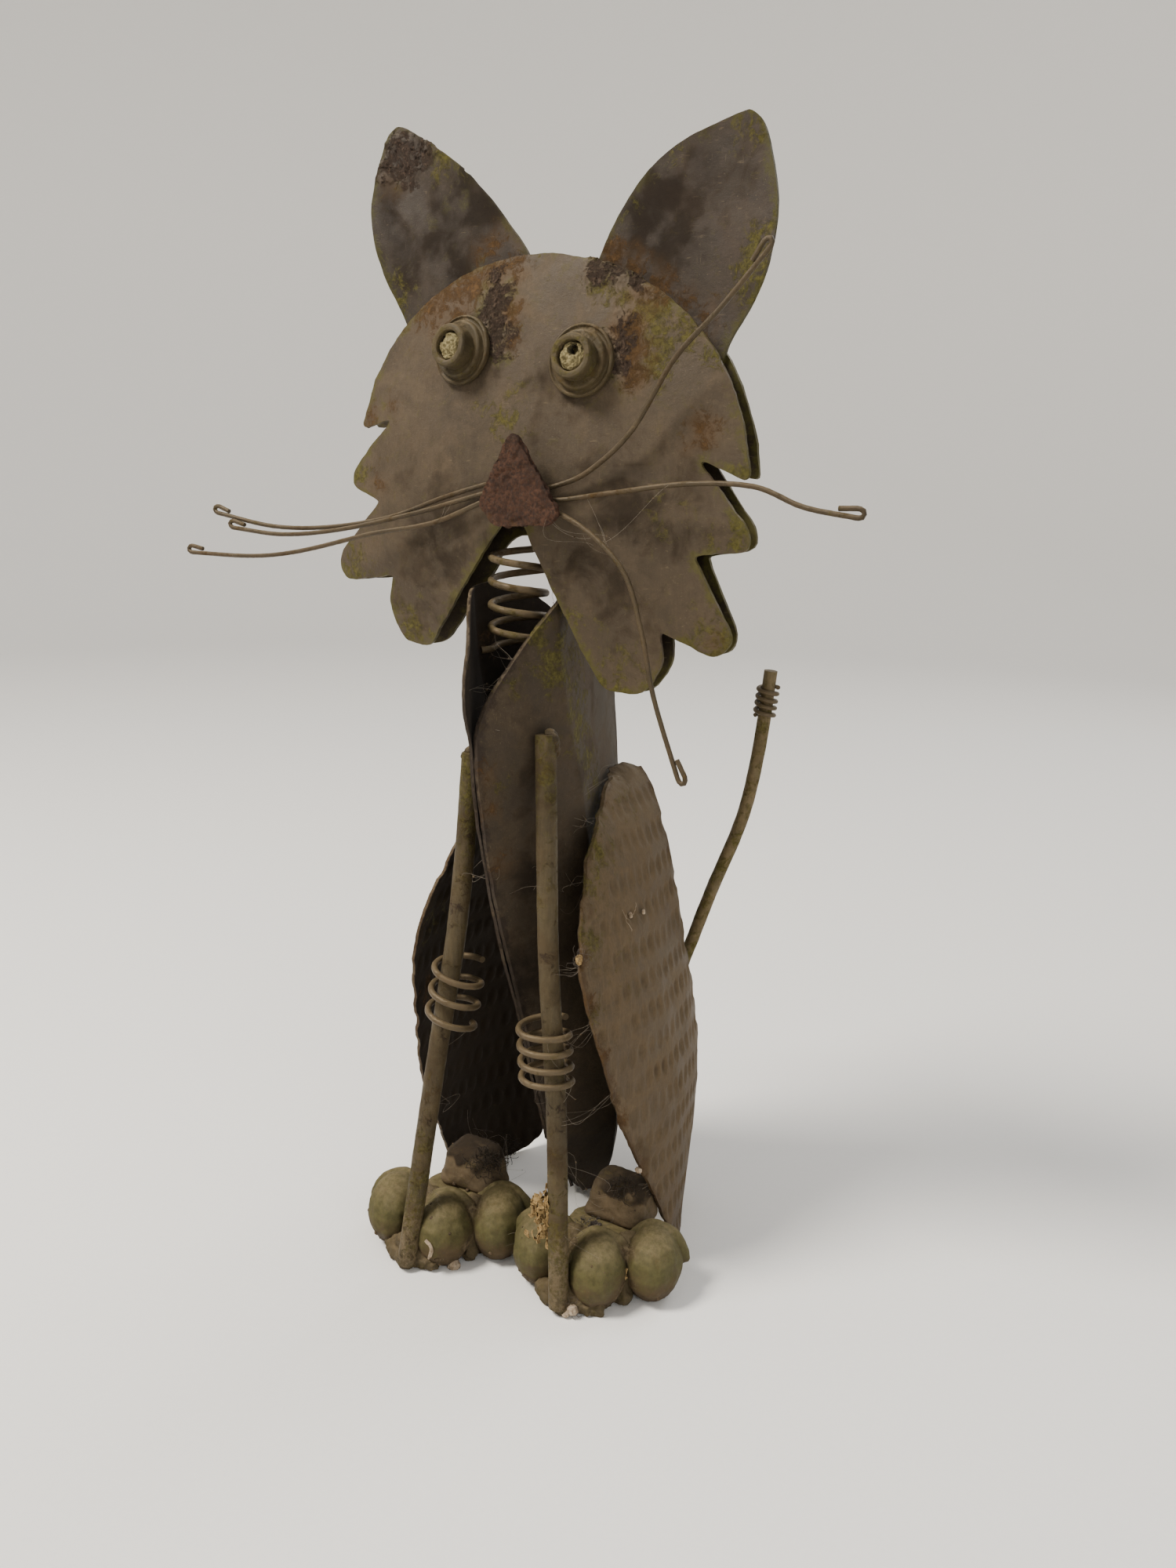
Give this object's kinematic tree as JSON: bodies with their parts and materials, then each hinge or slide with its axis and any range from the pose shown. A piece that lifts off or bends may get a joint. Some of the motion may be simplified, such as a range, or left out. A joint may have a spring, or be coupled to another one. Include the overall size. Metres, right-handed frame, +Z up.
{
  "type": "scrap metal cat sculpture",
  "caption": "Tall standing cat sculpture welded from weathered sheet metal, rods, wire and coil springs, with a wide lobed face plate and long whiskers.",
  "frame": {"origin": "middle of the bounding box at the ground, under the torso and between the paws", "axes": "+Z up; the cat looks along -Y; +X is the cat's own left side, which is the viewer's right"},
  "size_m": [0.3316, 0.1512, 0.501],
  "materials": {
    "sheet": "weathered mild steel sheet, matte taupe brown patina with rust and moss patches",
    "sheet_dark": "weathered mild steel sheet, matte, dark brown and dirty",
    "ear": "weathered mild steel sheet, smoky dark mottling and rusty edges",
    "haunch": "weathered steel sheet with a regular grid of shallow dimples, satin to matte",
    "rod": "weathered round steel rod, olive brown, matte",
    "spring": "weathered coil spring wire, tan grey, satin",
    "wire": "thin weathered steel wire, brown grey, satin",
    "paw": "dusty weathered iron with an olive green bloom, matte",
    "moss_metal": "weathered iron with dried moss and mud, matte",
    "rust": "deep red brown granular rust, very matte"
  },
  "bodies": {
    "root": {"face_plate": "sheet", "head_back_plate": "sheet_dark", "ear_left": "ear", "ear_right": "ear", "eye_cup_left": "moss_metal", "eye_cup_right": "moss_metal", "eye_tube_left": "moss_metal", "eye_tube_right": "moss_metal", "nose_stub": "rust", "nose": "rust", "whisker_left_top": "wire", "whisker_left_middle": "wire", "whisker_left_low": "wire", "whisker_right_top": "wire", "whisker_right_middle": "wire", "whisker_right_low": "wire", "neck_spring": "spring", "torso_left": "sheet", "torso_right": "sheet", "tail": "rod", "tail_spring": "spring", "leg_left": "rod", "leg_right": "rod", "leg_spring_left": "spring", "leg_spring_right": "spring", "haunch_left": "haunch", "haunch_right": "haunch", "paw_left": "paw", "paw_right": "paw", "ankle_left": "paw", "ankle_right": "paw"}
  },
  "joints": []
}
